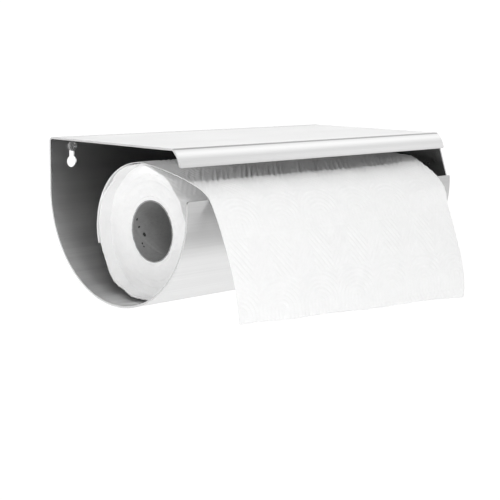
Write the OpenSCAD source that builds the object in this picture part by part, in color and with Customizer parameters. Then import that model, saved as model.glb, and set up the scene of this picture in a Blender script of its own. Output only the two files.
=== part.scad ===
// Wall-mounted kitchen roll holder bent from one steel sheet, with its roll.
// X runs along the wall, +Y points into the wall, +Z is up.
// The origin lies on the wall, midway between the two fixing screws.

/* [Holder] */
// Length of the holder along the wall
holder_length = 260; // [248:1:330]
// Depth from the wall to the front wall's outer face
holder_depth = 138; // [128:0.5:175]
// Height from the underside of the trough to the top of the shelf
holder_height = 104.5; // [98:0.5:135]
// Thickness of the steel sheet
sheet_t = 1.2; // [0.8:0.05:1.6]
// Outer radius of the rear half of the trough
rear_arc_r = 70; // [60:0.5:76]
// Outer radius of the bend between the back and the shelf
back_bend_r = 3; // [2:0.5:6]
// Distance from the shelf's top down to the edge of the front wall
front_edge_drop = 30.6; // [27:0.2:38]
// Radius of the rounded corners of the front wall and of the lip
corner_r = 1.5; // [1:0.5:6]

/* [Lip] */
// Distance that the lip's edge stands back from the front wall's outer face
lip_setback = 6.6; // [4:0.2:12]
// Distance that the lip reaches forward of the crease
lip_reach = 6.9; // [5:0.1:9]
// Distance that the lip reaches down from the shelf's top
lip_drop = 11.1; // [8:0.1:13]
// Radius of the lip's curve
lip_r = 16; // [12:0.5:40]

/* [End panel] */
// Distance that the panel is set in from the holder's right edge
panel_inset = 2.5; // [1:0.1:5]
// Thickness of the panel
panel_t = 1.0; // [0.8:0.05:1.6]
// Width of the two flanges that are welded to the shelf and to the back
flange_w = 8; // [5:0.5:9]

/* [Fixing] */
// Distance between the two keyholes
keyhole_spacing = 225.6; // [180:0.2:228]
// Distance from the shelf's top down to the screws
screw_drop = 6.4; // [6:0.1:9]
// Distance from the screw down to the middle of the keyhole's round part
keyhole_drop = 10.6; // [9:0.1:14]
// Radius of the screw's head
screw_head_r = 3.6; // [3:0.1:4]
// Height of the screw's head
screw_head_h = 2.4; // [1.8:0.1:3]
// Radius of the screw's shank
screw_shank_r = 1.9; // [1.5:0.1:2]
// Length of the screw under its head
screw_length = 20; // [16:1:30]
// Clearance round the head where it enters the keyhole
head_clear = 0.4; // [0.2:0.1:1]
// Clearance between the shank and each side of the slot
shank_clear = 0.15; // [0.1:0.05:0.4]

/* [Roll] */
// Radius of the roll over its loose outer wraps
roll_r = 44.8; // [32:0.2:46]
// Width of the paper
paper_width = 225; // [180:1:226]
// Thickness of the loose outer wraps together
outer_wrap_t = 1.3; // [0.6:0.1:3]
// Distance that the outer wraps have slid out of the roll's end
wrap_slip = 9.5; // [0:0.5:12]
// Distance from the middle of the holder to the middle of the roll
roll_shift = 9.1; // [4:0.1:10]
// Inner radius of the cardboard core
core_r = 19.5; // [16:0.5:24]
// Wall of the cardboard core
core_t = 0.8; // [0.5:0.1:1.5]
// Distance that the roll lies forward of the trough's lowest line
roll_forward = 3.5; // [0:0.5:6]
// Gap between the roll and the trough that it lies in
rest_gap = 0.3; // [0.2:0.1:1]

/* [Sheet] */
// Thickness of the embossed paper
paper_t = 0.6; // [0.3:0.1:1]
// Gap between the paper and the roll that it leaves, and between web and sheet
web_gap = 0.3; // [0.2:0.1:1]
// Gap between the paper and the front wall's edge
edge_gap = 0.4; // [0.3:0.1:1]
// Angle round the roll, from its front, at which the paper leaves it
leave_angle = 83; // [75:1:95]
// Reach of the curve where the paper leaves the roll
leave_bow = 20; // [8:1:26]
// Reach of the curve where the paper comes to the front wall's edge
edge_bow = 12; // [6:1:16]
// Distance that the hanging paper falls below the front wall's edge
sheet_drop = 87; // [60:1:110]
// Distance that the paper's lower edge stands forward of the front wall
sheet_reach = 29.2; // [15:0.2:36]
// Reach of the curve just past the front wall's edge
drape_bow = 10.5; // [6:0.5:14]
// Reach of the curve above the paper's lower edge
tail_bow = 28.5; // [15:0.5:36]
// Distance that the lower part of the curve swells past the lower edge
tail_swell = 2.6; // [0:0.2:6]
// Distance that the torn lower edge is shorter on the left
edge_slant = 13.3; // [0:0.1:20]
// Share of the hanging curve at which the perforation lies
perforation_at = 0.19; // [0.15:0.01:0.4]

/* [Hidden] */
$fn = 96;

SMOOTH_STEPS = 14;
CUT = 20;
front_arc_r = holder_depth - rear_arc_r;
shelf_depth = holder_depth - lip_setback - lip_reach;
z_top = screw_drop;
z_bottom = z_top - holder_height;
z_rear_c = z_bottom + rear_arc_r;
z_front_c = z_bottom + front_arc_r;
z_edge = z_top - front_edge_drop;
half_l = holder_length / 2;

// Where the front wall ends: on the straight wall, or still on the front arc
edge_in_arc = z_edge < z_front_c;
front_edge_y = edge_in_arc
    ? -rear_arc_r - sqrt(pow(front_arc_r, 2) - pow(z_front_c - z_edge, 2))
    : -holder_depth;

// Lip: an arc from the crease to the lip's edge, with its centre behind and below
lip_start = [-shelf_depth, z_top];
lip_end = [-shelf_depth - lip_reach, z_top - lip_drop];
lip_chord = norm(lip_end - lip_start);
lip_sag = sqrt(pow(lip_r, 2) - pow(lip_chord / 2, 2));
lip_c = (lip_start + lip_end) / 2 + lip_sag * [lip_drop, -lip_reach] / lip_chord;
lip_inner_end = lip_end - sheet_t * (lip_end - lip_c) / lip_r;

panel_x = half_l - panel_inset - panel_t;

keyhole_r = screw_head_r + head_clear;
slot_r = screw_shank_r + shank_clear;

// Roll
roll_y = -rear_arc_r - roll_forward;
roll_run = front_arc_r - sheet_t - rest_gap - roll_r;
roll_z = z_front_c - sqrt(pow(roll_run, 2) - pow(roll_forward, 2));
inner_wrap_r = roll_r - outer_wrap_t;
core_outer_r = core_r + core_t;
roll_left = roll_shift - paper_width / 2;
wraps_left = roll_left - wrap_slip;

// Path of the paper's upper face, as [y, z]
web_r = roll_r + web_gap + paper_t;
leave_point = [roll_y - web_r * cos(leave_angle), roll_z + web_r * sin(leave_angle)];
leave_dir = [-sin(leave_angle), -cos(leave_angle)];
edge_dir = [-sin(45), -cos(45)];
edge_point = [front_edge_y, z_edge + (edge_gap + paper_t) / cos(45)];
web_curve = [leave_point, leave_point + leave_bow * leave_dir, edge_point - edge_bow * edge_dir,
    edge_point];
drape_end = edge_point + [-sheet_reach, -sheet_drop];
drape_curve = [edge_point, edge_point + drape_bow * edge_dir,
    drape_end + [-tail_swell, tail_bow], drape_end];

function bezier(p, t) = pow(1 - t, 3) * p[0] + 3 * pow(1 - t, 2) * t * p[1]
    + 3 * (1 - t) * t * t * p[2] + pow(t, 3) * p[3];
function slope(p, t) = pow(1 - t, 2) * (p[1] - p[0]) + 2 * (1 - t) * t * (p[2] - p[1])
    + t * t * (p[3] - p[2]);
function outward(p, t) = let (d = slope(p, t)) [d[1], -d[0]] / norm(d);
function face(p, a, b, depth) = [for (i = [0:SMOOTH_STEPS])
    let (t = a + (b - a) * i / SMOOTH_STEPS) bezier(p, t) - depth * outward(p, t)];
function back_to_front(v) = [for (i = [len(v) - 1:-1:0]) v[i]];
function tail(v) = [for (i = [1:len(v) - 1]) v[i]];

module along_x(x, length) {
    translate([x, 0, 0]) rotate([90, 0, 90]) linear_extrude(height = length) children();
}

module arc_band(centre, r, t) {
    translate(centre) difference() {
        circle(r);
        circle(r - t);
    }
}

// Pie slice from the lip's centre that holds the lip's arc
module lip_slice() {
    polygon([lip_c, lip_c + 3 * (lip_start - lip_c), lip_c + 3 * (lip_end - lip_c)]);
}

module shell_section() {
    translate([-sheet_t, z_rear_c]) square([sheet_t, z_top - back_bend_r - z_rear_c]);
    intersection() {
        arc_band([-back_bend_r, z_top - back_bend_r], back_bend_r, sheet_t);
        translate([-back_bend_r, z_top - back_bend_r]) square(back_bend_r);
    }
    translate([-shelf_depth, z_top - sheet_t]) square([shelf_depth - back_bend_r, sheet_t]);
    intersection() {
        arc_band(lip_c, lip_r, sheet_t);
        lip_slice();
    }
    intersection() {
        arc_band([-rear_arc_r, z_rear_c], rear_arc_r, sheet_t);
        translate([-rear_arc_r, z_bottom]) square(rear_arc_r);
    }
    intersection() {
        arc_band([-rear_arc_r, z_front_c], front_arc_r, sheet_t);
        translate([-holder_depth, z_bottom])
            square([front_arc_r, min(front_arc_r, z_edge - z_bottom)]);
    }
    if (!edge_in_arc) {
        translate([-holder_depth, z_front_c]) square([sheet_t, z_edge - z_front_c]);
    }
}

// What a rounded corner takes away from a square one, in the XZ plane
module corner_cut(side, z, up, y) {
    translate([side * (half_l - corner_r), y, z - up * corner_r]) difference() {
        translate([side > 0 ? 0 : -CUT, -CUT / 2, up > 0 ? 0 : -CUT]) cube(CUT);
        rotate([90, 0, 0]) cylinder(r = corner_r, h = 2 * CUT, center = true);
    }
}

module keyhole() {
    translate([0, CUT / 2, -keyhole_drop]) rotate([90, 0, 0]) cylinder(r = keyhole_r, h = CUT);
    translate([0, CUT / 2, 0]) rotate([90, 0, 0]) cylinder(r = slot_r, h = CUT);
    translate([-slot_r, -CUT / 2, -keyhole_drop]) cube([2 * slot_r, CUT, keyhole_drop]);
}

module shell() {
    color([0.78, 0.79, 0.8]) difference() {
        along_x(-half_l, holder_length) shell_section();
        for (side = [-1, 1]) {
            corner_cut(side, z_edge, 1, front_edge_y);
            corner_cut(side, lip_end[1], -1, lip_end[0]);
            translate([side * keyhole_spacing / 2, 0, 0]) keyhole();
        }
    }
}

// Inside of the trough, up to the shelf and the lip
module panel_section() {
    difference() {
        union() {
            intersection() {
                translate([-rear_arc_r, z_rear_c]) circle(rear_arc_r - sheet_t);
                translate([-rear_arc_r, z_bottom]) square(rear_arc_r);
            }
            intersection() {
                translate([-rear_arc_r, z_front_c]) circle(front_arc_r - sheet_t);
                translate([-holder_depth, z_bottom]) square(front_arc_r);
            }
            translate([-rear_arc_r, z_rear_c])
                square([rear_arc_r - sheet_t, z_top - sheet_t - z_rear_c]);
            translate([-holder_depth + sheet_t, z_front_c])
                square([front_arc_r - sheet_t, z_top - sheet_t - z_front_c]);
        }
        // Front edge: straight from the lip's edge to the front wall's edge
        polygon([
            lip_inner_end,
            [front_edge_y + sheet_t, z_edge],
            [front_edge_y - CUT, z_edge],
            [front_edge_y - CUT, z_top + CUT],
            [lip_inner_end[0], z_top + CUT]
        ]);
        difference() {
            translate([lip_end[0] - 1, lip_end[1]]) square([lip_reach + 2, lip_drop + 1]);
            translate(lip_c) circle(lip_r - sheet_t);
        }
        // Inside of the bend between the back and the shelf
        translate([-back_bend_r, z_top - back_bend_r]) difference() {
            square(back_bend_r);
            circle(back_bend_r - sheet_t);
        }
    }
}

module end_panel() {
    color([0.45, 0.46, 0.48]) union() {
        along_x(panel_x, panel_t) panel_section();
        translate([panel_x - flange_w, -shelf_depth + 8, z_top - sheet_t - panel_t])
            cube([flange_w + panel_t, shelf_depth - 8 - 2 * back_bend_r, panel_t]);
        translate([panel_x - flange_w, -sheet_t - panel_t, z_rear_c])
            cube([flange_w + panel_t, panel_t, z_top - 2 * back_bend_r - z_rear_c]);
    }
}

// Pan-head screw with a cross recess; its head lies against the back's front face
module wall_screw() {
    dome_r = 2 * screw_head_r;
    tip_h = 2 * screw_shank_r;
    translate([0, -sheet_t, 0]) rotate([90, 0, 0]) difference() {
        union() {
            intersection() {
                cylinder(r = screw_head_r, h = screw_head_h);
                translate([0, 0, screw_head_h - dome_r]) sphere(dome_r);
            }
            translate([0, 0, tip_h - screw_length])
                cylinder(r = screw_shank_r, h = screw_length - tip_h);
            translate([0, 0, -screw_length])
                cylinder(r1 = 0.3, r2 = screw_shank_r, h = tip_h);
        }
        for (turn = [0, 90]) rotate([0, 0, turn]) {
            translate([-0.6 * screw_head_r, -0.45, 0.4 * screw_head_h])
                cube([1.2 * screw_head_r, 0.9, screw_head_h]);
        }
    }
}

module wall_screw_left() {
    color([0.82, 0.82, 0.84]) translate([-keyhole_spacing / 2, 0, 0]) wall_screw();
}

module wall_screw_right() {
    color([0.82, 0.82, 0.84]) translate([keyhole_spacing / 2, 0, 0]) wall_screw();
}

module tube(x, length, outer, inner) {
    translate([x, roll_y, roll_z]) rotate([0, 90, 0]) difference() {
        cylinder(r = outer, h = length);
        translate([0, 0, -1]) cylinder(r = inner, h = length + 2);
    }
}

module roll_core() {
    color([0.55, 0.54, 0.52]) tube(roll_left, paper_width, core_outer_r, core_r);
}

module paper_roll() {
    color([0.95, 0.95, 0.94]) tube(roll_left, paper_width, inner_wrap_r, core_outer_r);
}

module outer_wraps() {
    color([0.97, 0.97, 0.96]) tube(wraps_left, paper_width, roll_r, inner_wrap_r);
}

module paper_web() {
    color([0.96, 0.96, 0.95]) along_x(wraps_left, paper_width) polygon(concat(
        face(web_curve, 0, 1, 0),
        tail(face(drape_curve, 0, perforation_at, 0)),
        back_to_front(face(drape_curve, 0, perforation_at, paper_t)),
        tail(back_to_front(face(web_curve, 0, 1, paper_t)))
    ));
}

module tear_sheet() {
    // The web ends where the perforation is, and the sheet starts one gap further on
    start = perforation_at + web_gap / (3 * norm(slope(drape_curve, perforation_at)));
    color([0.98, 0.98, 0.97]) difference() {
        along_x(wraps_left, paper_width) polygon(concat(
            face(drape_curve, start, 1, 0),
            back_to_front(face(drape_curve, start, 1, paper_t))
        ));
        translate([wraps_left + paper_width, drape_end[0], drape_end[1]])
            rotate([0, atan(edge_slant / paper_width), 0])
            translate([-2 * paper_width, -2 * CUT, -2 * CUT])
            cube([3 * paper_width, 4 * CUT, 2 * CUT]);
    }
}

shell();
end_panel();
wall_screw_left();
wall_screw_right();
roll_core();
paper_roll();
outer_wraps();
paper_web();
tear_sheet();
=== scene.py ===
import math

import bpy
import numpy as np
from mathutils import Matrix, Vector


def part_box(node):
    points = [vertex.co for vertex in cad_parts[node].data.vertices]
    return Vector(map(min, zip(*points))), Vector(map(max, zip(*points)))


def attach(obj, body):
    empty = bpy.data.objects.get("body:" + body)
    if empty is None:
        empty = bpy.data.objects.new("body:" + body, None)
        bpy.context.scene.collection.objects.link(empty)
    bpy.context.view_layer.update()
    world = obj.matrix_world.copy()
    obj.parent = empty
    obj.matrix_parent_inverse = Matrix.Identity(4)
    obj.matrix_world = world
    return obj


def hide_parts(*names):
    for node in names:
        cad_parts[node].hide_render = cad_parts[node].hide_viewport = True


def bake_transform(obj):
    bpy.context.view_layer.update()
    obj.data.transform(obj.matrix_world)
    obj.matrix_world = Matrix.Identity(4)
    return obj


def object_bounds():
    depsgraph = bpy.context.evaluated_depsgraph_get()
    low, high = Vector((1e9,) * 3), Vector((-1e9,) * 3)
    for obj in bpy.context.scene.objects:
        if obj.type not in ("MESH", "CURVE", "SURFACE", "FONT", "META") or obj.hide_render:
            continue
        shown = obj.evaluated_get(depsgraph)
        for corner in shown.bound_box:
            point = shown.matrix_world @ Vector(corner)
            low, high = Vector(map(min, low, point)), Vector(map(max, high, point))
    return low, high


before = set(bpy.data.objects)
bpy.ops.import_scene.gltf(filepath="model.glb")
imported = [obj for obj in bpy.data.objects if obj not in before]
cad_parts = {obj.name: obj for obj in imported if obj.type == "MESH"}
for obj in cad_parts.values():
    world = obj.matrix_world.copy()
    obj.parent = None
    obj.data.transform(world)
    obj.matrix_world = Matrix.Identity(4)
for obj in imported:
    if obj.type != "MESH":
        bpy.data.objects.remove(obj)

CAD_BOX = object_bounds()
MM = 0.001
TURN = 2 * math.pi

# ---------------------------------------------------------------- sizes, in millimetres, as in the CAD

CORE_T = 0.8             # wall of the cardboard tube
CAD_PAPER_T = 0.6        # thickness of the CAD's paper
PAPER_T = 0.35           # thinner than that, which leaves room for the embossing
LYING_GAP = 0.06         # between the roll and the paper that still lies on it
ROUND_ROLL = 112         # degrees of the roll that the sheet lies round before it leaves
LEAVE_ANGLE = 83         # degrees round the roll, from its front, where the sheet leaves it
RISE_ANGLE = 0.35        # radians round the roll over which the sheet rises to where it leaves
WEB_GAP = 0.3            # between the roll and the paper there
LEAVE_BOW = 20           # how far the paper keeps its direction as it leaves the roll
FRONT_EDGE_DROP = 30.6   # from the shelf's top to the front wall's edge
EDGE_GAP = 0.4           # between the paper and that edge
EDGE_BOW = 12            # how far the paper keeps its direction before the edge
DRAPE_BOW = 10.5         # and after it
SHEET_DROP = 87          # from the front wall's edge to the sheet's lower end
SHEET_REACH = 29.2       # how far in front of the wall the lower end hangs
TAIL_BOW = 28.5          # how far the paper keeps its direction above its lower end
TAIL_SWELL = 2.6         # how far it swells outward there
EDGE_SLANT = 13.3        # how much shorter the sheet is at its left edge
EDGE_FADE = 4            # the embossing dies out this close to the left edge
PLY_STEP = 1.6           # how far the lower ply stands out past the upper one


def in_mm(node):
    """A node's lowest and highest corners, in millimetres."""
    low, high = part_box(node)
    return np.array(low) / MM, np.array(high) / MM


SHELL_LOW, SHELL_HIGH = in_mm("shell")
WRAPS_LOW, WRAPS_HIGH = in_mm("outer_wraps")
ROLL_LOW, ROLL_HIGH = in_mm("paper_roll")
TUBE_LOW, TUBE_HIGH = in_mm("roll_core")

ROLL_Y, ROLL_Z = (WRAPS_LOW[1:] + WRAPS_HIGH[1:]) / 2
WRAP_R = (WRAPS_HIGH[2] - WRAPS_LOW[2]) / 2
ROLL_R = (ROLL_HIGH[2] - ROLL_LOW[2]) / 2
TUBE_R = (TUBE_HIGH[2] - TUBE_LOW[2]) / 2
TUBE_INNER_R = TUBE_R - CORE_T

CREASE_Y = SHELL_LOW[1] + 13.5      # where the shelf bends down into the lip
LIP_LOW_Z = SHELL_HIGH[2] - 11.4    # about the height of the lip's lower edge
SHELF_LOW_Z = 3.0                   # the painted shade lines of the bends are drawn only above this


# ---------------------------------------------------------------- smooth noise and meshes

def ripples(x, y, seed, shortest, longest, count=24):
    """Smooth random field over x and y, mostly within 1.4 of zero, with waves of the given lengths."""
    rng = np.random.default_rng(seed)
    total = np.zeros(np.broadcast(x, y).shape)
    for _ in range(count):
        length = shortest * (longest / shortest) ** rng.random()
        heading, phase = TURN * rng.random(2)
        total += np.sin(TURN * (x * math.cos(heading) + y * math.sin(heading)) / length + phase)
    return total / math.sqrt(count)


def smoothstep(value, low, high):
    """0 at low and 1 at high, with a soft start and end."""
    t = np.clip((value - low) / (high - low), 0, 1)
    return t * t * (3 - 2 * t)


def mesh_object(name, points, faces, material):
    """A smoothly shaded mesh, from points in millimetres."""
    mesh = bpy.data.meshes.new(name)
    mesh.from_pydata([tuple(p) for p in np.asarray(points, float) * MM], [], faces)
    mesh.polygons.foreach_set("use_smooth", [True] * len(mesh.polygons))
    mesh.materials.append(material)
    mesh.validate()
    mesh.update()
    obj = bpy.data.objects.new(name, mesh)
    bpy.context.scene.collection.objects.link(obj)
    return obj


def quads(rows, columns, wrap_rows=False, wrap_columns=False, start=0, flip=False):
    """The quads of a grid of points numbered row by row from start."""
    r = np.arange(rows if wrap_rows else rows - 1)[:, None]
    c = np.arange(columns if wrap_columns else columns - 1)[None, :]
    r2, c2 = (r + 1) % rows, (c + 1) % columns
    corners = [r * columns + c, r * columns + c2, r2 * columns + c2, r2 * columns + c]
    if flip:
        corners.reverse()
    return [tuple(int(i) for i in q) for q in np.stack(corners, -1).reshape(-1, 4) + start]


def turned(name, profile, steps, material, shape):
    """A ring turned round the roll's axis from a closed profile of (x, radius). shape changes x and radius,
    given the angle, as arrays over profile points and steps."""
    angle = np.arange(steps) / steps * TURN
    x = np.repeat(np.array([p[0] for p in profile])[:, None], steps, 1)
    r = np.repeat(np.array([p[1] for p in profile])[:, None], steps, 1)
    a = np.repeat(angle[None, :], len(profile), 0)
    x, r = shape(x, r, a)
    points = np.stack([x, ROLL_Y + r * np.cos(a), ROLL_Z + r * np.sin(a)], -1)
    faces = quads(len(profile), steps, wrap_rows=True, wrap_columns=True)
    return mesh_object(name, points.reshape(-1, 3), faces, material)


def turned_tube(x_left, x_right, inner, outer, along, across):
    """Closed profile of a tube: up its left end, along the outside, down its right end and back inside. Its
    points are about along apart on the sides, and across apart on the ends."""
    n_end = max(1, round((outer - inner) / across))
    n_side = max(1, round((x_right - x_left) / along))
    left = [(x_left, inner + (outer - inner) * i / n_end) for i in range(n_end)]
    outside = [(x_left + (x_right - x_left) * i / n_side, outer) for i in range(n_side)]
    right = [(x_right, outer - (outer - inner) * i / n_end) for i in range(n_end)]
    inside = [(x_right - (x_right - x_left) * i / n_side, inner) for i in range(n_side)]
    return left + outside + right + inside


# ---------------------------------------------------------------- shader nodes

def add(tree, kind, inputs=None, **settings):
    """A new shader node. An input is linked if it is given as a socket, and set if it is a value."""
    node = tree.nodes.new("ShaderNode" + kind)
    for key, value in settings.items():
        setattr(node, key, value)
    for key, value in (inputs or {}).items():
        if isinstance(value, bpy.types.NodeSocket):
            tree.links.new(value, node.inputs[key])
        else:
            node.inputs[key].default_value = value
    return node


def new_material(name, **constants):
    """A material, its node tree and its shader. The constants are the shader's own sockets, _ for a space."""
    material = bpy.data.materials.new(name)
    material.use_nodes = True
    shader = material.node_tree.nodes["Principled BSDF"]
    for key, value in constants.items():
        shader.inputs[key.replace("_", " ")].default_value = value
    return material, material.node_tree, shader


def grey(value):
    return (value, value, value, 1)


def calculate(tree, operation, first, second):
    return add(tree, "Math", {0: first, 1: second}, operation=operation).outputs[0]


def stretched_noise(tree, scale, detail, roughness, distortion=0.0):
    """Noise over the object's own coordinates, stretched by a scale for each axis."""
    place = add(tree, "TexCoord").outputs["Object"]
    mapped = add(tree, "Mapping", {"Vector": place, "Scale": scale}).outputs["Vector"]
    return add(tree, "TexNoise", {"Vector": mapped, "Scale": 1.0, "Detail": detail, "Roughness": roughness,
                                  "Distortion": distortion}).outputs["Fac"]


def even_noise(tree, scale, detail, roughness):
    return stretched_noise(tree, (scale, scale, scale), detail, roughness)


def ranged(tree, value, low, high, to_low, to_high):
    """The value, with low to high turned into to_low to to_high."""
    return add(tree, "MapRange", {"Value": value, "From Min": low, "From Max": high, "To Min": to_low,
                                  "To Max": to_high}).outputs["Result"]


def shade_ramp(tree, value, stops):
    """Colour ramp of greys: stops are (position, grey)."""
    ramp = add(tree, "ValToRGB", {"Fac": value})
    ramp.color_ramp.elements[0].position = stops[0][0]
    ramp.color_ramp.elements[1].position = stops[-1][0]
    for position, _ in stops[1:-1]:
        ramp.color_ramp.elements.new(position)
    for element, (_, shade) in zip(ramp.color_ramp.elements, stops):
        element.color = grey(shade)
    return ramp.outputs["Color"]


def towards_grey(tree, colour, shade, amount):
    """The colour, mixed with a grey by the amount."""
    mix = add(tree, "MixRGB", {"Fac": amount, "Color1": colour, "Color2": grey(shade)})
    return mix.outputs["Color"]


def band(tree, value, start, full, gone, end):
    """1 between full and gone, and 0 outside start and end."""
    rise = ranged(tree, value, start, full, 0.0, 1.0)
    fall = ranged(tree, value, gone, end, 1.0, 0.0)
    return calculate(tree, "MULTIPLY", rise, fall)


def finish_surface(tree, shader, colour, roughness, relief, strength, distance):
    """Links the colour and the roughness, and gives the surface a fine relief, distance millimetres deep."""
    tree.links.new(colour, shader.inputs["Base Color"])
    tree.links.new(roughness, shader.inputs["Roughness"])
    bump = add(tree, "Bump", {"Height": relief, "Strength": strength, "Distance": distance * MM})
    tree.links.new(bump.outputs["Normal"], shader.inputs["Normal"])


# ---------------------------------------------------------------- materials

ONE_NOISE = (0.3, 0.7)      # what a noise mostly lies between
TWO_NOISES = (0.6, 1.4)     # and the sum of two


def brushed_steel(name, shades, roughness, cloud=16, bends=(), painted_shade_above=None):
    """Steel brushed along X: fine streaks, a soft cloud of wear, and painted shade along the lines where the
    sheet is bent.
    Each bend is the four places along Y of its soft edges, and how dark its painted shade is.
    painted_shade_above is the two heights between which painted shade on the trough grows from none below to
    its darkest above, at the open end. Further inward the painted shade starts lower down."""
    bend_shade_grey, shade_grey, deepest_shade, inward_slope = 0.12, 0.06, 0.85, 0.6
    cloud_share, lowest, highest = 0.4, 0.8, 1.6
    material, tree, shader = new_material(name, Metallic=1.0)
    fine = stretched_noise(tree, (5, 1100, 1100), detail=4.0, roughness=0.6)
    broad = stretched_noise(tree, (3, 160, 160), detail=2.0, roughness=0.5)
    clouds = stretched_noise(tree, (cloud, cloud * 2.5, cloud * 2.5), detail=3.0, roughness=0.6)
    streaks = calculate(tree, "ADD", fine, broad)
    mixed = calculate(tree, "ADD", streaks, calculate(tree, "MULTIPLY", clouds, cloud_share))
    low, high = shades
    colour = shade_ramp(tree, ranged(tree, mixed, lowest, highest, 0.0, 1.0),
                        [(0, low), (0.5, (low + high) / 2), (1, high)])
    place = add(tree, "SeparateXYZ", {"Vector": add(tree, "TexCoord").outputs["Object"]})
    # painted shade: the trough darkens towards a dark grey upward, and more so further in from the open end
    if painted_shade_above:
        inward = calculate(tree, "ADD", place.outputs["X"], -SHELL_LOW[0] * MM)
        deeper = calculate(tree, "MULTIPLY", inward, inward_slope)
        height = calculate(tree, "ADD", deeper, place.outputs["Z"])
        painted_shade = ranged(tree, height, painted_shade_above[0] * MM, painted_shade_above[1] * MM, 0.0, deepest_shade)
        colour = towards_grey(tree, colour, shade_grey, painted_shade)
    # painted shade: grey lines along the bends of the sheet
    if bends:
        above = calculate(tree, "GREATER_THAN", place.outputs["Z"], SHELF_LOW_Z * MM)
        for edges, depth in bends:
            line = band(tree, place.outputs["Y"], *(v * MM for v in edges))
            shown = calculate(tree, "MULTIPLY", line, above)
            colour = towards_grey(tree, colour, bend_shade_grey, calculate(tree, "MULTIPLY", shown, depth))
    rough = ranged(tree, mixed, lowest, highest, *roughness)
    finish_surface(tree, shader, colour, rough, streaks, strength=0.25, distance=0.04)
    return material


def soft_paper(name, shades, relief=0.06, fibre=1400):
    """Tissue: a faint mottle of fibres, matt, with a soft fibrous bump."""
    material, tree, shader = new_material(name, Sheen_Weight=0.15, Sheen_Roughness=0.6,
                                          Specular_IOR_Level=0.15)
    fibres = stretched_noise(tree, (fibre, fibre * 0.6, fibre * 0.6), detail=4.0, roughness=0.7,
                             distortion=0.4)
    mixed = calculate(tree, "ADD", fibres, even_noise(tree, 120, detail=3.0, roughness=0.6))
    colour = shade_ramp(tree, ranged(tree, mixed, *TWO_NOISES, 0, 1), [(0, shades[0]), (1, shades[1])])
    rough = ranged(tree, fibres, *ONE_NOISE, 0.85, 1.0)
    finish_surface(tree, shader, colour, rough, fibres, strength=0.35, distance=relief)
    return material


def core_board():
    """Grey recycled board: long fibres along the tube, darker flecks, and a dull surface."""
    material, tree, shader = new_material("core_board", Specular_IOR_Level=0.2)
    fibres = stretched_noise(tree, (420, 1100, 1100), detail=5.0, roughness=0.7, distortion=0.6)
    flecks = even_noise(tree, 700, detail=2.0, roughness=0.5)
    mixed = calculate(tree, "ADD", fibres, even_noise(tree, 60, detail=3.0, roughness=0.6))
    ground = shade_ramp(tree, ranged(tree, mixed, *TWO_NOISES, 0, 1), [(0, 0.28), (0.5, 0.36), (1, 0.44)])
    colour = towards_grey(tree, ground, 0.1, ranged(tree, flecks, 0.70, 0.76, 0.0, 0.5))
    rough = ranged(tree, fibres, *ONE_NOISE, 0.7, 0.95)
    finish_surface(tree, shader, colour, rough, fibres, strength=0.4, distance=0.08)
    return material


def plated_screw():
    """Bright plated steel with faint marks along the screw and small specks."""
    material, tree, shader = new_material("plated_screw", Metallic=1.0)
    marks = stretched_noise(tree, (900, 400, 900), detail=4.0, roughness=0.65)
    mixed = calculate(tree, "ADD", marks, even_noise(tree, 1600, detail=2.0, roughness=0.5))
    colour = shade_ramp(tree, ranged(tree, mixed, *TWO_NOISES, 0, 1), [(0, 0.5), (0.4, 0.62), (1, 0.75)])
    rough = ranged(tree, mixed, *TWO_NOISES, 0.18, 0.4)
    finish_surface(tree, shader, colour, rough, marks, strength=0.3, distance=0.03)
    return material


def core_mark():
    """Dark smudge of glue."""
    material, tree, shader = new_material("core_mark")
    grain = even_noise(tree, 2500, detail=2.0, roughness=0.5)
    colour = shade_ramp(tree, grain, [(0.3, 0.02), (0.7, 0.07)])
    rough = ranged(tree, grain, *ONE_NOISE, 0.5, 0.8)
    finish_surface(tree, shader, colour, rough, grain, strength=0.3, distance=0.05)
    return material


# The soft edges of the painted shade lines along the bends, along Y
FRONT_BEND_SHADE = (CREASE_Y - 1.1, CREASE_Y - 0.9, CREASE_Y + 0.2, CREASE_Y + 1.2)
BACK_BEND_SHADE = (-10, -6, 0, 1)

STEEL = brushed_steel("steel_sheet", shades=(0.60, 0.70), roughness=(0.30, 0.42),
                      bends=((FRONT_BEND_SHADE, 0.55), (BACK_BEND_SHADE, 0.45)))
# lighter than the outer steel, as painted light on the trough's low part by the open end; painted shade
# darkens it upward and inward
INNER_STEEL = brushed_steel("steel_inner", shades=(0.70, 0.84), roughness=(0.36, 0.50), cloud=30,
                            painted_shade_above=(-85, 30))
CUT_STEEL = brushed_steel("steel_cut", shades=(0.40, 0.52), roughness=(0.45, 0.6), cloud=60)
# a darker copy of the steel: painted shade on the end panel
SHADED_PANEL_STEEL = brushed_steel("steel_panel", shades=(0.32, 0.42), roughness=(0.26, 0.38))
SHEET_PAPER = soft_paper("sheet_paper", shades=(0.88, 0.93))
OUTER_PAPER = soft_paper("outer_paper", shades=(0.89, 0.94))
WOUND_PAPER = soft_paper("wound_paper", shades=(0.86, 0.92), relief=0.10, fibre=1800)
BOARD = core_board()
SCREW_METAL = plated_screw()
MARK = core_mark()


# ---------------------------------------------------------------- embossing

EMBOSS = 0.36            # height of the embossed lines
LINE_PITCH = 3.3
LINE_SHARPNESS = 1.5
CELL_W, ROW_H = 36.0, 28.0
ROW_EDGE = 1.2           # the lines fade out this close to a row's edge
ARCH_WIDTH = 1.15        # half an arch's width, as a share of its height
ARCH_DROP = 0.2          # from the row's middle down to where the arches spring, as a share of the row
SLANT_ACROSS, SLANT_ALONG = 0.8, 0.6


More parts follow.
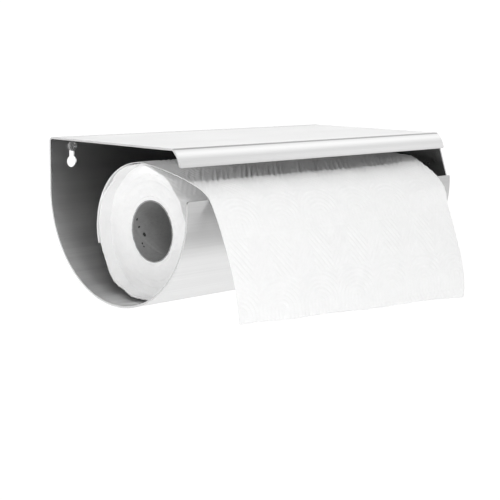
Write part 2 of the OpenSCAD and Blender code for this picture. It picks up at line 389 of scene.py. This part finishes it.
def emboss(across, along):
    """Height of the embossed pattern: rows of nested arches, with rows of slanted lines between. Every second
    pair of rows is shifted by half a cell."""
    row = np.floor(along / ROW_H)
    v = along - (row + 0.5) * ROW_H
    shift = np.where(row % 4 < 2, 0.0, CELL_W / 2)
    u = np.mod(across + shift, CELL_W) - CELL_W / 2
    above_spring = np.minimum(v - ARCH_DROP * ROW_H, 0)
    arches = np.cos(TURN * np.hypot(u, ARCH_WIDTH * above_spring) / LINE_PITCH)
    slants = np.cos(TURN * (np.abs(u) * SLANT_ACROSS + v * SLANT_ALONG) / LINE_PITCH)
    lines = np.where(row % 2 == 0, arches, slants)
    edge = smoothstep(ROW_H / 2 - np.abs(v), 0.0, ROW_EDGE)
    return EMBOSS * edge * np.clip(0.5 + 0.5 * lines, 0, 1) ** LINE_SHARPNESS


# ---------------------------------------------------------------- the paper that leaves the roll and hangs

def bezier(points, t):
    p0, p1, p2, p3 = (np.array(p) for p in points)
    t = np.asarray(t)[:, None]
    return (1 - t) ** 3 * p0 + 3 * (1 - t) ** 2 * t * p1 + 3 * (1 - t) * t * t * p2 + t ** 3 * p3


def paper_path():
    """Upper face of the paper as [y, z]: round the roll's top, out over the front wall's edge, and down. Also
    the point where it passes that edge."""
    web_r = WRAP_R + WEB_GAP + CAD_PAPER_T
    lying_r = WRAP_R + PAPER_T + EMBOSS + LYING_GAP
    leave = math.radians(LEAVE_ANGLE)
    leave_point = np.array([ROLL_Y - web_r * math.cos(leave), ROLL_Z + web_r * math.sin(leave)])
    leave_dir = np.array([-math.sin(leave), -math.cos(leave)])
    edge_dir = np.array([-math.sqrt(0.5), -math.sqrt(0.5)])
    edge_z = SHELL_HIGH[2] - FRONT_EDGE_DROP
    edge_point = np.array([SHELL_LOW[1], edge_z + (EDGE_GAP + CAD_PAPER_T) * math.sqrt(2)])
    end = edge_point + np.array([-SHEET_REACH, -SHEET_DROP])
    around = []
    for a in np.linspace(leave + math.radians(ROUND_ROLL), leave, 160)[:-1]:
        r = lying_r + (web_r - lying_r) * (1 - smoothstep(a - leave, 0, RISE_ANGLE))
        around.append([ROLL_Y - r * math.cos(a), ROLL_Z + r * math.sin(a)])
    web = bezier([leave_point, leave_point + LEAVE_BOW * leave_dir, edge_point - EDGE_BOW * edge_dir,
                  edge_point], np.linspace(0, 1, 120))
    drape = bezier([edge_point, edge_point + DRAPE_BOW * edge_dir, end + [-TAIL_SWELL, TAIL_BOW], end],
                   np.linspace(0, 1, 160))[1:]
    return np.vstack([around, web, drape]), edge_point


def even(path, step):
    """The path with points step apart, and the length along it at each."""
    lengths = np.concatenate([[0], np.cumsum(np.hypot(*np.diff(path, axis=0).T))])
    count = max(2, round(lengths[-1] / step) + 1)
    at = np.linspace(0, lengths[-1], count)
    return np.stack([np.interp(at, lengths, path[:, i]) for i in (0, 1)], -1), at


def paper_lift(x, along, hang, slant, at_edge, total):
    """How far the paper's upper face stands off its path, over a grid of x and the length along the path."""
    from_left = x - x[0, 0]
    share = from_left / from_left[0, -1]

    # Soft waves grow below the front edge, where the sheet also hangs a little further in
    wave_h, wave_inward = 0.55, 0.5
    below = smoothstep(along, at_edge + 10, total)
    waves = below * (wave_h * ripples(x, along, seed=11, shortest=55, longest=140) - wave_inward)

    # Fine slanted gathers under the lip, which get weaker near both side edges
    gather_h, gather_slant, gather_stretch = 0.75, 0.9, 0.08
    start, full, fading, gone = (at_edge - distance for distance in (45, 30, 24, 14))
    under_lip = smoothstep(along, start, full) * (1 - smoothstep(along, fading, gone))
    under_lip = under_lip * smoothstep(1 - share, 0.02, 0.12) * smoothstep(share, -0.04, 0.10)
    folds = ripples(x + gather_slant * along, along * gather_stretch, seed=12, shortest=2.4, longest=4.6)
    gathers = gather_h * under_lip * (folds - 1)

    # The right edge stands up in two soft bulges, each given by its place from the front edge and its width
    bulge_h, bulge_share, bulges = 2.4, 0.72, ((-25, 11), (12, 9))
    swell = sum(np.exp(-((along - at_edge - place) / width) ** 2) for place, width in bulges)
    bulge = bulge_h * smoothstep(share, bulge_share, 1.0) * swell

    # The lower ply shows as a step down along the left edge's lower part and along the torn edge
    ply_h, ply_soft = 0.16, 0.4
    at_left = 1 - smoothstep(from_left, PLY_STEP, PLY_STEP + ply_soft)
    at_end = 1 - smoothstep(total - slant - along, PLY_STEP, PLY_STEP + ply_soft)
    ply = -ply_h * np.maximum(at_left * smoothstep(hang, 0.55, 0.8), at_end)

    pattern = smoothstep(from_left, 0.0, EDGE_FADE) * emboss(from_left, along - at_edge)
    return waves + gathers + bulge + ply + pattern - EMBOSS


GRID = 0.75


def hanging_paper():
    """The paper in one piece, its flat size in metres, and the point where it passes the front edge. Its grid
    has a row for each place along the path, and hang is 0 at the front edge and 1 at the lower end."""
    path, edge_point = paper_path()
    line, at = even(path, GRID)
    at_edge = at[np.argmin(np.hypot(*(line - edge_point).T))]
    total = at[-1]
    rows = len(at)
    columns = round((WRAPS_HIGH[0] - WRAPS_LOW[0]) / GRID) + 1
    x = np.linspace(WRAPS_LOW[0], WRAPS_HIGH[0], columns)

    # The torn lower edge rises to the left, so each column ends at its own length along the path
    end_inset, probe = 0.5, 0.5
    slant = EDGE_SLANT * (1 - (x - x[0]) / (x[-1] - x[0]))
    tear = (0.18 * ripples(x, 0 * x, seed=3, shortest=1.6, longest=5.0)
            + 0.35 * ripples(x, 0 * x, seed=4, shortest=40, longest=90))
    hang = (at[:, None] - at_edge) / (total - at_edge)
    along = at[:, None] - np.maximum(hang, 0) * (slant + tear + end_inset)[None, :]
    y = np.interp(along, at, line[:, 0])
    z = np.interp(along, at, line[:, 1])
    dy = np.interp(along + probe, at, line[:, 0]) - np.interp(along - probe, at, line[:, 0])
    dz = np.interp(along + probe, at, line[:, 1]) - np.interp(along - probe, at, line[:, 1])
    out_y, out_z = dz / np.hypot(dy, dz), -dy / np.hypot(dy, dz)
    grid_x = np.repeat(x[None, :], rows, 0)

    lift = paper_lift(grid_x, along, hang, slant[None, :], at_edge, total)
    top = np.stack([grid_x, y + lift * out_y, z + lift * out_z], -1)
    low = np.stack([grid_x, y + (lift - PAPER_T) * out_y, z + (lift - PAPER_T) * out_z], -1)
    count = rows * columns
    faces = quads(rows, columns) + quads(rows, columns, start=count, flip=True)
    rim = ([(0, c) for c in range(columns)] + [(r, columns - 1) for r in range(1, rows)]
           + [(rows - 1, c) for c in range(columns - 2, -1, -1)] + [(r, 0) for r in range(rows - 2, 0, -1)])
    ids = [r * columns + c for r, c in rim]
    for a, b in zip(ids, ids[1:] + ids[:1]):
        faces.append((b, a, a + count, b + count))
    points = np.concatenate([top.reshape(-1, 3), low.reshape(-1, 3)])
    piece = mesh_object("hanging_paper", points, faces, SHEET_PAPER)
    return piece, ((x[-1] - x[0]) * MM, (total - slant.mean()) * MM), edge_point


paper, paper_flat, paper_edge = hanging_paper()
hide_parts("paper_web", "tear_sheet")
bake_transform(paper)


# ---------------------------------------------------------------- the roll

def wound_roll():
    """The wound paper: its ends show the layers as fine uneven rings."""
    profile = turned_tube(ROLL_LOW[0], ROLL_HIGH[0], TUBE_R, ROLL_R, along=1.8, across=0.3)
    layer, layers = 0.9, 60
    step_h = 0.08
    least, mean, most = 0.02, 0.35, 1.2
    fine_h, broad_h, dent_h = 0.12, 0.25, 0.12

    def shape(x, r, a):
        steps = np.random.default_rng(21).normal(0, step_h, layers)
        k = np.clip(((r - TUBE_R + layer * a / TURN) / layer).astype(int), 0, layers - 1)
        end = (x == ROLL_LOW[0]) | (x == ROLL_HIGH[0])
        inward = np.where(x == ROLL_LOW[0], 1.0, -1.0)
        fine = fine_h * ripples(r, a * 26, seed=22, shortest=2, longest=9)
        broad = broad_h * ripples(r * 0.3, a * 20, seed=23, shortest=30, longest=80)
        x = x + np.where(end, inward * np.clip(mean + steps[k] + fine + broad, least, most), 0)
        dents = dent_h * (ripples(x, a * ROLL_R, seed=24, shortest=30, longest=80) - 1.4)
        outer = (r > ROLL_R - 0.01) & ~end
        return x, r + np.where(outer, emboss(x, a * ROLL_R) - EMBOSS + dents, 0)

    return turned("wound_roll", profile, 360, WOUND_PAPER, shape)


def loose_wraps():
    """The outer wraps, which have slid out to the left, with a soft uneven rim."""
    profile = turned_tube(WRAPS_LOW[0], WRAPS_HIGH[0], ROLL_R, WRAP_R, along=1.1, across=0.22)
    rim_width, rim_in, rim_h = 26, 0.6, 0.55
    dent_h, deepest, dents_off_rim = 0.45, 1.6, 0.25
    inner_clearance = 0.05
    groove_h, groove_pitch, groove_most, groove_reach = 0.12, 0.44, 0.1, 1.2

    def shape(x, r, a):
        rim = 1 - smoothstep(x - WRAPS_LOW[0], 0, rim_width)
        uneven = ripples(np.cos(a) * 30, np.sin(a) * 30, seed=31, shortest=10, longest=50)
        x = x + rim * (rim_in + rim_h * uneven)
        soft = ripples(np.cos(a) * 60 + x * 0.4, np.sin(a) * 60, seed=32, shortest=14, longest=70)
        dents = dent_h * (soft - 1.5) * (dents_off_rim + (1 - dents_off_rim) * rim)
        dents = np.clip(dents, -deepest, 0)
        outside = r > (ROLL_R + WRAP_R) / 2
        lift = np.where(outside, emboss(x, a * WRAP_R) - EMBOSS, inner_clearance) + dents
        grooves = groove_h * np.cos(TURN * (r - ROLL_R) / groove_pitch) * (x < WRAPS_LOW[0] + groove_reach)
        return x + np.clip(grooves, -groove_most, groove_most), r + lift

    return turned("loose_wraps", profile, 330, OUTER_PAPER, shape)


def core_tube():
    """Cardboard tube wound from one strip: its seam runs round it as a shallow step."""
    profile = turned_tube(TUBE_LOW[0], TUBE_HIGH[0], TUBE_INNER_R, TUBE_R, along=1.0, across=0.27)
    strip = 74.0
    seam_at, seam_width, seam_h = 3.0, 0.7, 0.22
    lap_h, lap_fades, lap_ends = 0.10, 9.0, 12.0
    inner_lift, outer_lift, wobble_h = 0.1, -0.04, 0.03
    end_inset, fuzz_h, fuzz_most = 0.2, 0.2, 0.6

    def shape(x, r, a):
        turn = np.mod((x - TUBE_LOW[0]) / strip + a / TURN, 1.0) * strip
        seam = np.exp(-((turn - seam_at) / seam_width) ** 2)
        overlap = smoothstep(turn, seam_at, seam_at + 0.6) * (1 - smoothstep(turn, lap_fades, lap_ends))
        inside = r < (TUBE_INNER_R + TUBE_R) / 2
        wobble = wobble_h * ripples(x, a * 20, seed=41, shortest=4, longest=30)
        lift = seam_h * seam - lap_h * overlap + inner_lift + wobble
        at_left = x < TUBE_LOW[0] + 0.01
        fuzz = fuzz_h * ripples(r * 3, a * 20, seed=42, shortest=2, longest=12)
        x = x + np.clip(end_inset + fuzz, 0, fuzz_most) * at_left
        return x, r + np.where(inside, lift, outer_lift)

    return turned("core_tube", profile, 200, BOARD, shape)


def core_marks():
    """Small smudges of glue inside the tube near its left end, each a flat drop on the wall. A drop is given
    by its distance from the end, its angle round the tube and its size."""
    drops = ((3.2, 17, 0.8), (5.6, 1, 0.8), (9.6, -15, 1.3), (5.9, -32, 0.7), (6.1, -39, 0.6))
    rings, steps = 4, 16
    gap, height = 0.02, 0.12
    points, faces = [], []
    for x, degrees, size in drops:
        start = len(points)
        for ring in range(rings + 1):
            share = ring / rings
            for k in range(steps):
                turn = k / steps * TURN
                r = size * share * (1 + 0.16 * math.sin(2 * turn + degrees) + 0.07 * math.sin(5 * turn))
                a = math.radians(degrees) + r * math.sin(turn) / TUBE_INNER_R
                wall = TUBE_INNER_R - gap - height * math.sqrt(1 - share ** 2)
                points.append([TUBE_LOW[0] + x + r * math.cos(turn), ROLL_Y + wall * math.cos(a),
                               ROLL_Z + wall * math.sin(a)])
        faces += quads(rings + 1, steps, wrap_columns=True, start=start)
    return mesh_object("core_marks", points, faces, MARK)


roll = wound_roll()
wraps = loose_wraps()
core = core_tube()
marks = core_marks()
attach(marks, "roll")
for piece, node, slot in ((roll, "paper_roll", "wound_paper"), (wraps, "outer_wraps", "outer_paper"),
                          (core, "roll_core", "core_board")):
    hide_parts(node)
    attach(piece, "roll")


# ---------------------------------------------------------------- screws

HEAD_R, HEAD_H = 3.6, 2.4
HEAD_RINGS, SCREW_STEPS = 34, 72
DOME_H = 0.95
END_INSET = 0.02         # from the node's ends to the head's face and to the tip
CROSS_ANGLE = 0.4        # radians that the cross recess is turned by
CROSS_DEPTH = 1.3
SLOT_EDGES = (0.34, 0.52)      # from a slot's middle line to the foot and the top of its side
ARM_EDGES = (1.7, 2.3)         # from the cross's middle to the foot and the top of an arm's end
SHANK_R, ROOT_R, THREAD_PITCH = 1.9, 1.35, 1.4
PLAIN_SHANK = 0.8        # length under the head that has no thread
POINT_LENGTH = 4.2
THREAD_STEP = 0.16


def head_rings(head_y):
    """The head's domed face with its cross recess, as rings of (radii, y), from the middle outward."""
    angle = np.arange(SCREW_STEPS) / SCREW_STEPS * TURN + CROSS_ANGLE
    rings = []
    for i in range(HEAD_RINGS):
        r = HEAD_R * math.sin((i + 0.5) / HEAD_RINGS * math.pi / 2) ** 0.9
        dome = head_y + END_INSET + DOME_H * (1 - math.sqrt(1 - (0.93 * r / HEAD_R) ** 2))
        one_way, other_way = np.abs(r * np.cos(angle)), np.abs(r * np.sin(angle))
        in_slot = 1 - smoothstep(np.minimum(one_way, other_way), *SLOT_EDGES)
        in_reach = 1 - smoothstep(np.maximum(one_way, other_way), *ARM_EDGES)
        rings.append((np.full(SCREW_STEPS, r), dome + CROSS_DEPTH * in_slot * in_reach))
    return rings


def seat_rings(seat_y):
    """The head's side and its flat underside, down to the plain shank: radii, and heights from the seat."""
    corners = ((HEAD_R, -0.35), (HEAD_R - 0.05, -0.05), (HEAD_R - 0.3, 0), (SHANK_R, 0), (SHANK_R - 0.1, 0.3))
    return [(np.full(SCREW_STEPS, r), np.full(SCREW_STEPS, seat_y + y)) for r, y in corners]


def thread_rings(seat_y, length):
    """The thread, which grows out of the plain shank and runs down to the point."""
    angle = np.arange(SCREW_STEPS) / SCREW_STEPS
    ridge_width, grow_length, point_r = 0.28, 1.4, 0.08
    rings = []
    for y in np.arange(PLAIN_SHANK, length - 0.1, THREAD_STEP):
        turn = np.mod(y / THREAD_PITCH - angle, 1.0)
        ridge = np.clip(1 - np.abs(turn - 0.5) / ridge_width, 0, 1)
        taper = np.clip((length - y) / POINT_LENGTH, point_r, 1)
        grow = np.clip((y - PLAIN_SHANK) / grow_length, 0, 1)
        radii = taper * (ROOT_R + grow * (SHANK_R - ROOT_R) * ridge)
        rings.append((radii, np.full(SCREW_STEPS, seat_y + y)))
    return rings


def screw(node):
    """Pan-head screw with a cross recess and a cut thread, its axis along Y."""
    low, high = in_mm(node)
    centre_x, centre_z = (low[0] + high[0]) / 2, (low[2] + high[2]) / 2
    head_y, tip_y = low[1], high[1]
    seat_y = head_y + HEAD_H
    rings = head_rings(head_y) + seat_rings(seat_y) + thread_rings(seat_y, tip_y - seat_y)
    angle = np.arange(SCREW_STEPS) / SCREW_STEPS * TURN
    grid = [np.stack([centre_x + r * np.cos(angle), y, centre_z + r * np.sin(angle)], -1) for r, y in rings]
    points = np.concatenate(grid)
    faces = quads(len(rings), SCREW_STEPS, wrap_columns=True)
    head_middle, tip, last_ring = len(points), len(points) + 1, len(points) - SCREW_STEPS
    ends = [[centre_x, head_y + END_INSET + CROSS_DEPTH, centre_z], [centre_x, tip_y - END_INSET, centre_z]]
    for i in range(SCREW_STEPS):
        j = (i + 1) % SCREW_STEPS
        faces.append((head_middle, j, i))
        faces.append((tip, last_ring + i, last_ring + j))
    obj = mesh_object(node + "_threaded", np.vstack([points, ends]), faces, SCREW_METAL)
    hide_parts(node)
    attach(obj, "holder")


for screw_node in ("wall_screw_left", "wall_screw_right"):
    screw(screw_node)


# ---------------------------------------------------------------- the CAD's own steel pieces

CUT_BEVEL = 0.2
INNER_SLOT, CUT_SLOT = 1, 2


def dress(node, material):
    """Gives a CAD node its steel, softens its cut edges and smooths the shading of its bends."""
    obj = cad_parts[node]
    obj.data.materials.clear()
    obj.data.materials.append(material)
    edge = obj.modifiers.new("cut_edges", "BEVEL")
    edge.width = CUT_BEVEL * MM
    edge.segments = 2
    edge.limit_method = "ANGLE"
    edge.angle_limit = math.radians(25)
    edge.harden_normals = True


def finish_sides(node, inside, cut):
    """Gives the trough's inner faces their rougher steel, lighter as painted light low down and with painted
    shade higher up and further in, and the sheared end edges their finish. The undersides of the shelf and
    the lip keep the outer finish."""
    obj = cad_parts[node]
    obj.data.materials.append(inside)
    obj.data.materials.append(cut)
    axis = Vector((0, ROLL_Y, ROLL_Z)) * MM
    for face in obj.data.polygons:
        towards = axis - face.center
        towards.x = 0
        high_up = face.center.z > LIP_LOW_Z * MM
        under_shelf = high_up and (face.normal.z < -0.5 or face.center.y < CREASE_Y * MM)
        if abs(face.normal.x) > 0.7:
            face.material_index = CUT_SLOT
        elif face.normal.dot(towards) > 0.4 * towards.length and not under_shelf:
            face.material_index = INNER_SLOT


dress("shell", STEEL)
finish_sides("shell", INNER_STEEL, CUT_STEEL)
dress("end_panel", SHADED_PANEL_STEEL)


# ---------------------------------------------------------------- camera

LENS, SENSOR = 86.688, 36
YAW, PITCH, ROLL_ANGLE = (math.radians(v) for v in (44.81, 9.27, -0.68))
DISTANCE = 892
AIM = Vector((19.8, 34.4, -29.2))      # from the middle of the CAD box to the middle of the view

box_low, box_high = (np.array(v) / MM for v in CAD_BOX)
target = Vector((box_low + box_high) / 2) + AIM
forward = Vector((math.sin(YAW) * math.cos(PITCH), math.cos(YAW) * math.cos(PITCH), -math.sin(PITCH)))
right = Vector((math.cos(YAW), -math.sin(YAW), 0))
down = forward.cross(right)
right_rolled = math.cos(ROLL_ANGLE) * right + math.sin(ROLL_ANGLE) * down
down_rolled = -math.sin(ROLL_ANGLE) * right + math.cos(ROLL_ANGLE) * down

camera_data = bpy.data.cameras.new("camera")
camera_data.sensor_width = SENSOR
camera_data.lens = LENS
camera_data.clip_end = 50
camera = bpy.data.objects.new("camera", camera_data)
axes = Matrix((right_rolled, -down_rolled, -forward)).transposed().to_4x4()
camera.matrix_world = Matrix.Translation((target - DISTANCE * forward) * MM) @ axes
bpy.context.scene.collection.objects.link(camera)
bpy.context.scene.camera = camera


# ---------------------------------------------------------------- light and floor

def softbox(name, place, aim, size, power):
    """A rectangular light that faces the point aim. Places and sizes are in metres, power in watts."""
    light = bpy.data.lights.new(name, "AREA")
    light.shape = "RECTANGLE"
    light.size, light.size_y = size
    light.energy = power
    obj = bpy.data.objects.new(name, light)
    obj.location = place
    obj.rotation_euler = (Vector(aim) - Vector(place)).to_track_quat("-Z", "Y").to_euler()
    obj.visible_camera = False
    bpy.context.scene.collection.objects.link(obj)


softbox("key_above_left", (-0.9, -1.15, 0.9), (0, -0.13, 0), (0.5, 0.08), 5.8)
softbox("key_above", (-0.15, -1.15, 1.0), (0, -0.13, 0), (0.8, 0.10), 1.6)
softbox("fill_left", (-1.3, -0.75, 0.1), (0, -0.1, 0), (0.6, 0.5), 5.8)
softbox("glow_front_low", (1.05, -1.2, -0.32), (0, -0.14, -0.06), (1.2, 0.45), 0.7)
softbox("glow_behind_left", (-1.2, 1.0, -0.2), (-0.13, 0, -0.05), (1.2, 0.7), 7)
softbox("glow_below", (0.2, -0.2, -0.53), (0.2, -0.2, 0), (2.4, 1.6), 7)

# Soft lights far away: the direction of each, the angles in degrees inside and outside its soft edge, and how
# strong it is
GLOWS = (
    ((0.70, 0.70, 0.16), 12, 22, 1.70),
    ((0.70, 0.05, 0.75), 12, 30, 1.05),
    ((0.70, -0.42, 0.57), 10, 32, 1.05),
    ((0.70, -0.66, 0.06), 8, 26, 1.10),
    ((0.00, -0.45, 0.90), 15, 35, 1.10),
    ((0.00, -1.00, 0.20), 8, 22, 0.35),
    ((1.00, 0.00, 0.12), 10, 25, 0.50),
    ((-1.0, 0.05, 0.10), 8, 20, 0.30),
)
AMBIENT = 0.01
FLOOR_GLOW = 0.05
SEEN_WHITE = 1.05
FLOOR_SIDE, FLOOR_DROP = 30.0, 0.45     # metres


def studio_world():
    """White to look at, and a few soft glows in a dim room for the object."""
    world = bpy.data.worlds.new("studio")
    world.use_nodes = True
    tree = world.node_tree
    ground = tree.nodes["Background"]
    heading = add(tree, "TexCoord").outputs["Generated"]
    light = AMBIENT
    for direction, inside, outside, strength in GLOWS:
        unit = Vector(direction).normalized()
        facing = add(tree, "VectorMath", {0: heading, 1: unit}, operation="DOT_PRODUCT").outputs["Value"]
        lobe = add(tree, "MapRange", {"Value": facing, "From Min": math.cos(math.radians(outside)),
                                      "From Max": math.cos(math.radians(inside)), "To Min": 0.0,
                                      "To Max": strength}, interpolation_type="SMOOTHSTEP").outputs["Result"]
        light = calculate(tree, "ADD", light, lobe)
    seen = add(tree, "LightPath").outputs["Is Camera Ray"]
    strength = add(tree, "Mix", {"Factor": seen, "A": light, "B": SEEN_WHITE}).outputs["Result"]
    tree.links.new(strength, ground.inputs["Strength"])
    ground.inputs["Color"].default_value = (1, 1, 1, 1)
    bpy.context.scene.world = world


def floor():
    """Plain pale floor far below the holder. It looks evenly white, and gives back the light that falls on
    it."""
    mesh = bpy.data.meshes.new("floor")
    z = box_low[2] * MM - FLOOR_DROP
    corners = ((-1, -1), (1, -1), (1, 1), (-1, 1))
    mesh.from_pydata([(x * FLOOR_SIDE, y * FLOOR_SIDE, z) for x, y in corners], [], [(0, 1, 2, 3)])
    material, tree, shader = new_material("floor", Base_Color=(0.85, 0.85, 0.85, 1), Roughness=0.9,
                                          Specular_IOR_Level=0.0, Emission_Color=(1, 1, 1, 1),
                                          Emission_Strength=FLOOR_GLOW)
    white = add(tree, "Emission", {"Color": (1, 1, 1, 1), "Strength": SEEN_WHITE}).outputs["Emission"]
    seen = add(tree, "LightPath").outputs["Is Camera Ray"]
    both = add(tree, "MixShader", {0: seen, 1: shader.outputs["BSDF"], 2: white}).outputs["Shader"]
    tree.links.new(both, tree.nodes["Material Output"].inputs["Surface"])
    mesh.materials.append(material)
    obj = bpy.data.objects.new("floor", mesh)
    bpy.context.scene.collection.objects.link(obj)


studio_world()
floor()
bpy.context.scene.view_settings.view_transform = "Standard"
